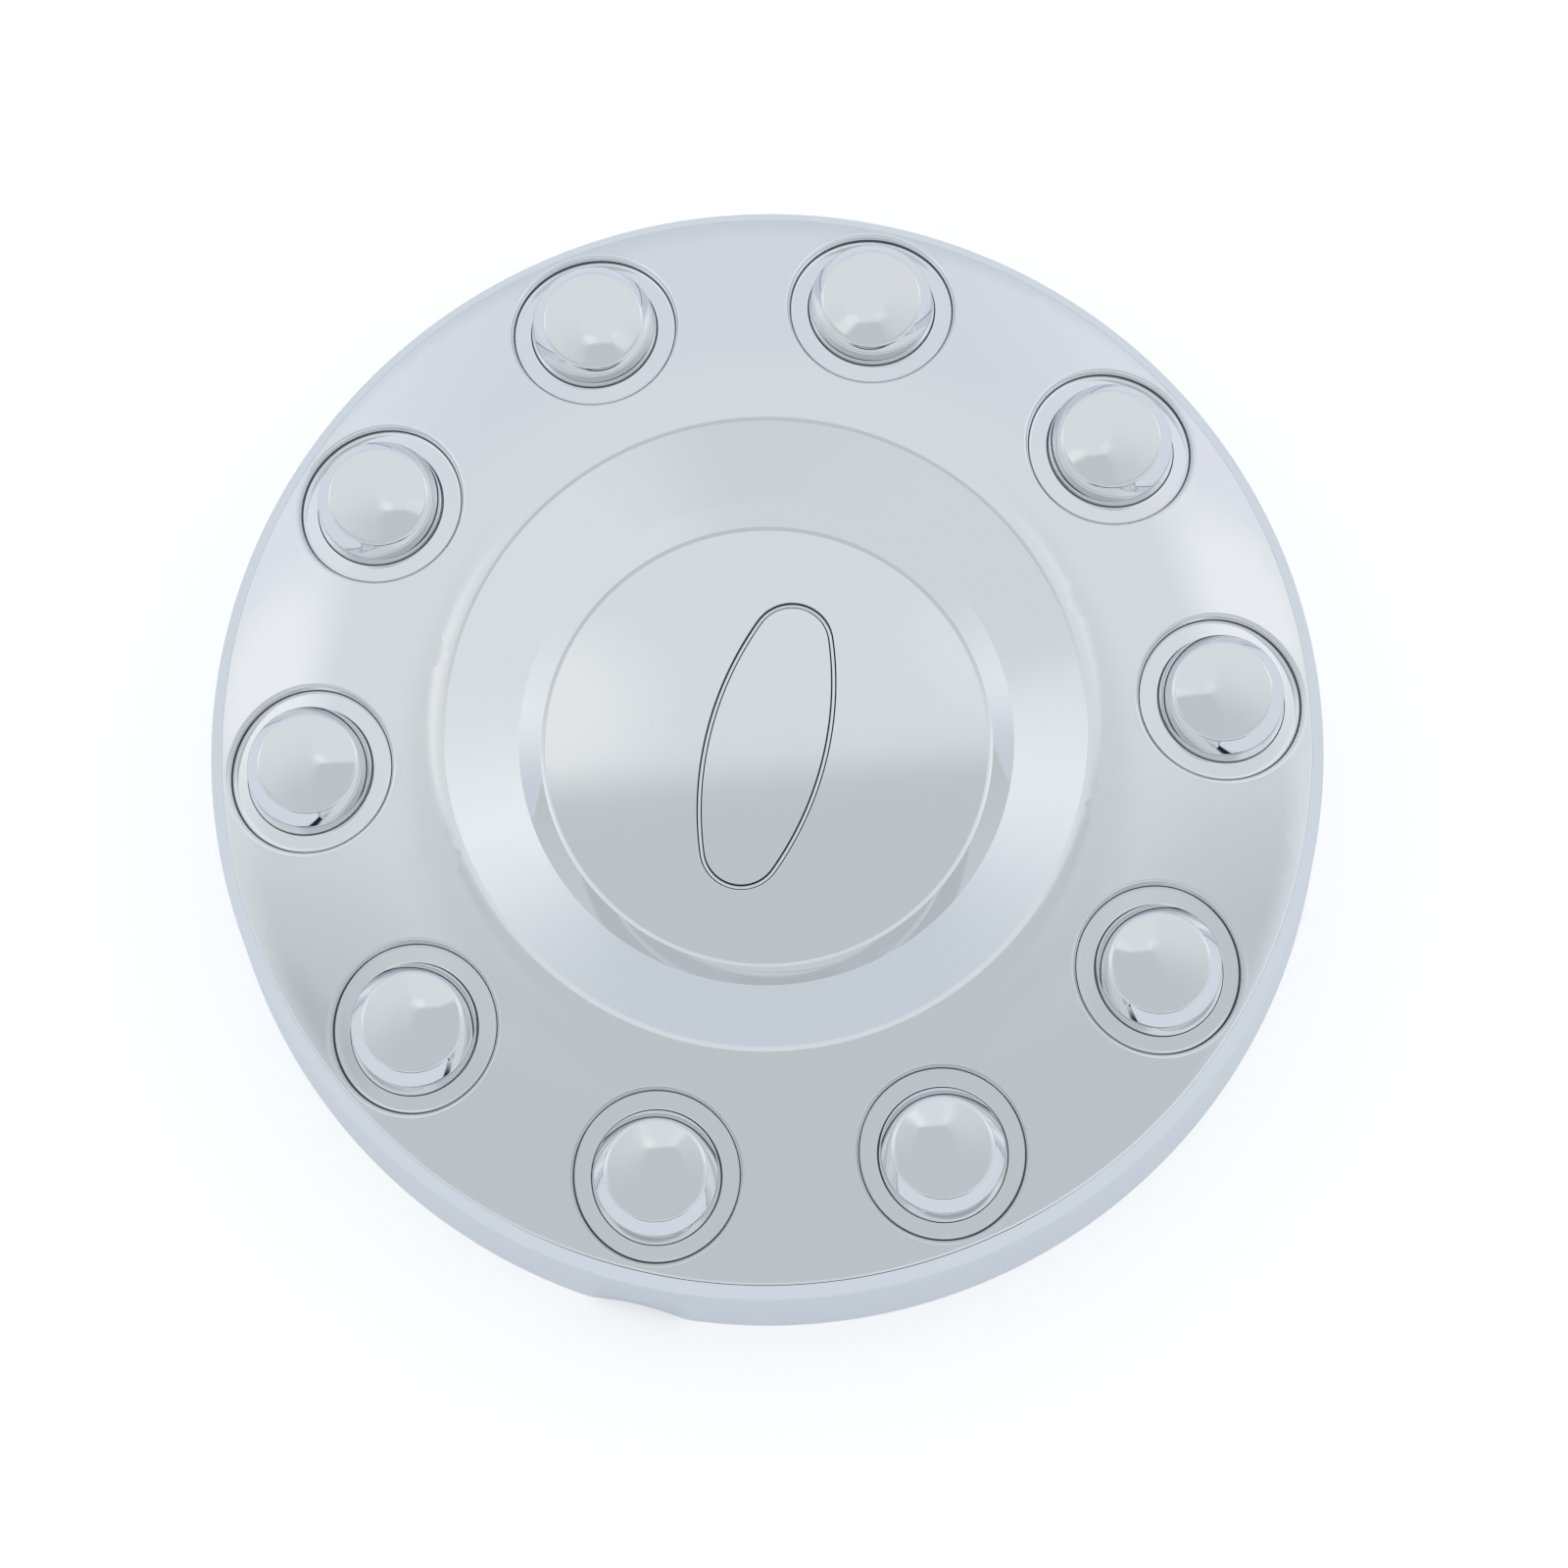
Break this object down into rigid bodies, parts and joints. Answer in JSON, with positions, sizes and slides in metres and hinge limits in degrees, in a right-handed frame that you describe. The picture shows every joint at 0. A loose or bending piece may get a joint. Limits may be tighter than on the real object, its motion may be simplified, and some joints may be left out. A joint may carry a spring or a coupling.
{
  "type": "wheel center cap",
  "caption": "Round chrome-plated wheel center cap: domed flange with lug-nut covers in round pockets, dished hub with a plain oval groove, deep skirt and nut sockets behind.",
  "frame": {"origin": "centre of the back rim's plane, on the wheel's axis", "axes": "+Z out of the wheel, towards the face; +X through a lug socket, opposite the prising notch"},
  "size_m": [0.2796, 0.28, 0.0618],
  "materials": {
    "chrome": "polished plating on moulded plastic"
  },
  "bodies": {
    "root": {"center_cap": "chrome"}
  },
  "joints": []
}
